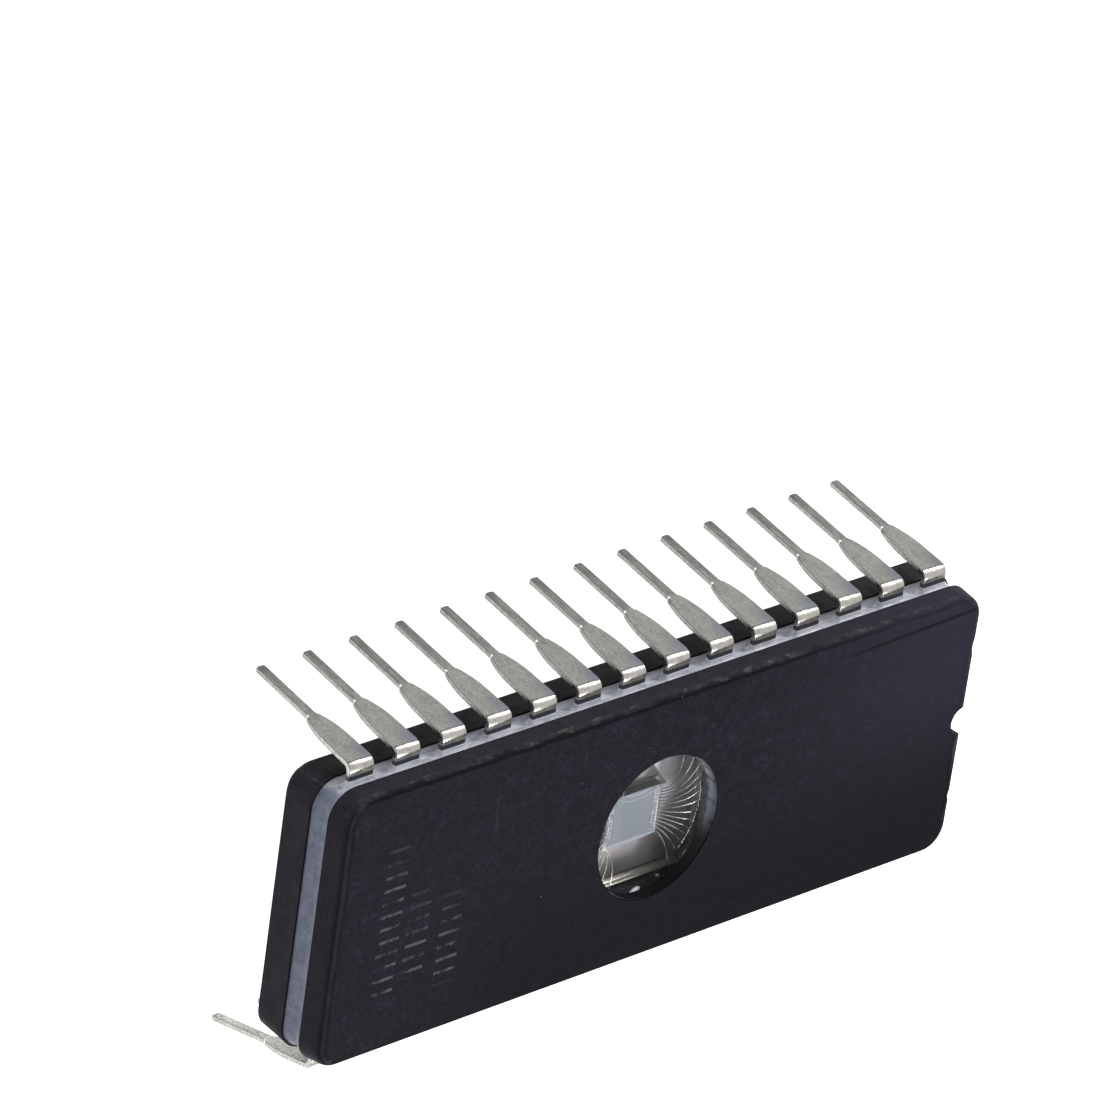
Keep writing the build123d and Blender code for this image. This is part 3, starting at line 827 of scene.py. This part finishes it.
# Painted sheen toward the notch end and +y, and painted shade toward -y and the plain end
tone = cap.tint(tone, CAP_PAINTED_SHEEN, cap.step(x, 3.0, 18.0), cap.step(y, -5.0, 4.0), 0.6)
tone = cap.tint(tone, CAP_PAINTED_SHADE, cap.step(y, 2.5, -5.5), cap.step(x, -15.0, -6.0), 0.75)

# Long scuff near the notch
from_scuff = cap.distance(y, cap.plus(cap.times(x, SCUFF_SLOPE), SCUFF_AT))
scuff = cap.times(cap.step(from_scuff, *SCUFF_HALF_WIDTH), cap.step(x, *SCUFF_ALONG_X))
tone = cap.tint(tone, RIM_SHADE_AND_SCUFF, scuff, cap.step(z, CAP_TOP - 0.05, CAP_TOP - 0.01), 0.8)

# What is left of the ink, as plain bars
ink_left = cap.patches(1.6, 0.4, 0.6, 6.0, 0.8)
for row_x, row_start, row_end in INK_ROWS:
    in_row = cap.step(cap.distance(x, row_x), INK_HALF_WIDTH + INK_EDGE, INK_HALF_WIDTH)
    past_end = cap.step(y, row_end, row_end + 0.03)
    in_row = cap.times(in_row, past_end, cap.step(y, row_start, row_start - 0.03))
    bar = cap.distance(cap.math("FRACT", cap.math("DIVIDE", y, INK_BAR_PITCH)), 0.5)
    bar = cap.step(bar, INK_BAR_HALF + INK_EDGE, INK_BAR_HALF)
    faded = cap.step(y, row_start, row_start - 2.5, 0.25, 1.0)
    tone = cap.tint(tone, INK_GREY, in_row, bar, ink_left, faded, 0.4)
cap.feed("Base Color", tone)
dress(["ceramic_cap"], cap)
soften("ceramic_cap", SLAB_EDGE_SOFTENING)

# Window
# A clear disc that passes ultraviolet light, fused into the hole of the cap while it was soft. The
# fused seam round it is dark, with a pale painted haze of light on the side toward the notch.

WINDOW_RADIUS = 3.43
SEAM_INSIDE = 0.03
SEAM_LIP = 0.07
SEAM_FOOT = 0.06
SEAM_BELOW_CAP = 0.04
SEAM_UNDER_TOP = 0.03
SEAM_POINTS = 96
HAZE_FROM = (-0.5, 0.0)
HAZE_TO = (1.1, 0.75)
SEAM_DARK = (0.002, 0.002, 0.003)
SEAM_GREY = (0.008, 0.008, 0.011)
LIT_HAZE_TOP = (0.12, 0.13, 0.17)
LIT_HAZE_BOTTOM = (0.5, 0.53, 0.64)

window = Finish("clear_window_glass", (0.97, 0.975, 0.98), 0.0, Transmission_Weight=1.0, IOR=1.48)
shadow_ray = window.node("LightPath", output="Is Shadow Ray")
open_way = window.node("BsdfTransparent", {"Color": (0.93, 0.94, 0.95)})
mixed = window.node("MixShader", {0: shadow_ray, 1: window.shader.outputs[0], 2: open_way})
window.join(mixed, window.tree.nodes["Material Output"].inputs["Surface"])
dress(["uv_window"], window)

seam = Finish("fused_seam", (0.012, 0.012, 0.015), 0.9, Specular_IOR_Level=0.05)
x, y, z = seam.axes()
bearing = seam.math("ARCTAN2", y, x)
ragged = seam.step(seam.noise(2.2, 4.0, 0.7, stretch=(1, 1, 0.4)), 0.36, 0.56, 0.3, 1.0)
# Painted light: a pale haze on the seam toward the notch, paler toward the cap's bottom
painted_haze = seam.blend(seam.step(z, CAP_TOP, CAP_BOTTOM), LIT_HAZE_TOP, LIT_HAZE_BOTTOM)
tone = seam.blend(seam.noise(3.0), SEAM_DARK, SEAM_GREY)
tone = seam.tint(tone, painted_haze, seam.step(bearing, *HAZE_FROM), seam.step(bearing, *HAZE_TO), ragged)
seam.feed("Base Color", tone)
seam.bump(seam.noise(9.0), 0.004, 0.5)


def seam_ring():
    """Thin upright band with a lip at its foot, which hides the edge of the glass: a profile of
    (distance outward, height) points carried round a circle."""
    turn = np.linspace(0, 2 * np.pi, SEAM_POINTS, endpoint=False)
    outward = np.stack([np.cos(turn), np.sin(turn)], 1)
    low = CAP_BOTTOM - SEAM_BELOW_CAP
    high = CAP_TOP - SEAM_UNDER_TOP
    outer = [(SEAM_FOOT, low), (0.01, (low + high) / 2), (0, high)]
    inner = [(-SEAM_INSIDE, high), (-SEAM_INSIDE, low + 0.12), (-SEAM_LIP, low + 0.08), (-SEAM_LIP, low)]
    return carry_round(WINDOW_RADIUS * outward, outward, outer + inner)


make_piece("window_seam", [seam_ring()], seam, closed_rows=True)

# Studio
# A pale floor, soft lamps and the camera. The world is pale with one small dark card, which stands
# where the window mirrors it to the camera. None of it belongs to the object.

FLOOR_GLOW = 0.55
SKY_STRENGTH = 0.5
CARD_STRENGTH = 0.06
CARD_DIRECTION = (0.632, -0.5015, 0.591)
CARD_EDGE = (0.012, 0.026)
WHITE = (1, 1, 1)
CAMERA_LENS = 282.27
CAMERA_SENSOR = 36
CAMERA_PLACE = Vector((-234.65, 179.07, 223.45)) * MM
CAMERA_RIGHT = Vector((0.73064, 0.12623, 0.67099)).normalized()
CAMERA_BACK = Vector((-0.64123, 0.46438, 0.61088)).normalized()

bpy.ops.mesh.primitive_plane_add(size=8)
floor = bpy.context.object
floor.name = "studio_floor"
pale = Finish("pale_floor", (0.8, 0.8, 0.8), 0.9, Specular_IOR_Level=0.0, Emission_Color=WHITE)
mirrored = pale.node("LightPath", output="Is Glossy Ray")
mirrored = pale.larger(mirrored, pale.node("LightPath", output="Is Transmission Ray"))
camera_ray = pale.node("LightPath", output="Is Camera Ray")
pale.feed("Emission Strength", pale.larger(camera_ray, pale.times(mirrored, FLOOR_GLOW)))
floor.data.materials.append(pale.material)

world = bpy.data.worlds.new("studio")
bpy.context.scene.world = world
world.use_nodes = True
sky = Shading(world.node_tree)
direction = sky.node("TexCoord", output="Generated")
apart = {0: direction, 1: CARD_DIRECTION}
from_card = sky.node("VectorMath", apart, output="Value", operation="DISTANCE")
strength = sky.step(from_card, *CARD_EDGE, CARD_STRENGTH, SKY_STRENGTH)
strength = sky.larger(strength, sky.node("LightPath", output="Is Camera Ray"))
backdrop = world.node_tree.nodes["Background"]
sky.join(WHITE, backdrop.inputs["Color"])
sky.join(strength, backdrop.inputs["Strength"])


def lamp(name, place, size, power, aim=(0, 0, 0.005)):
    """A rectangular soft lamp at place, in metres, that faces aim."""
    light = bpy.data.lights.new(name, "AREA")
    light.shape = "RECTANGLE"
    light.size, light.size_y = size
    light.energy = power
    holder = bpy.data.objects.new(name, light)
    bpy.context.scene.collection.objects.link(holder)
    holder.location = place
    holder.rotation_euler = (Vector(aim) - Vector(place)).to_track_quat("-Z", "Y").to_euler()


lamp("key_lamp", (0.15, -0.2, 0.45), (0.16, 0.16), 1.5)
lamp("bend_lamp", (0.38, 0.42, 0.22), (0.24, 0.07), 1.8)

camera_data = bpy.data.cameras.new("camera")
camera_data.sensor_width = CAMERA_SENSOR
camera_data.lens = CAMERA_LENS
camera_data.clip_start = 0.01
camera = bpy.data.objects.new("camera", camera_data)
bpy.context.scene.collection.objects.link(camera)
turned = Matrix((CAMERA_RIGHT, CAMERA_BACK.cross(CAMERA_RIGHT), CAMERA_BACK)).transposed()
camera.matrix_world = Matrix.Translation(CAMERA_PLACE) @ turned.to_4x4()
bpy.context.scene.camera = camera
bpy.context.scene.view_settings.view_transform = "Standard"
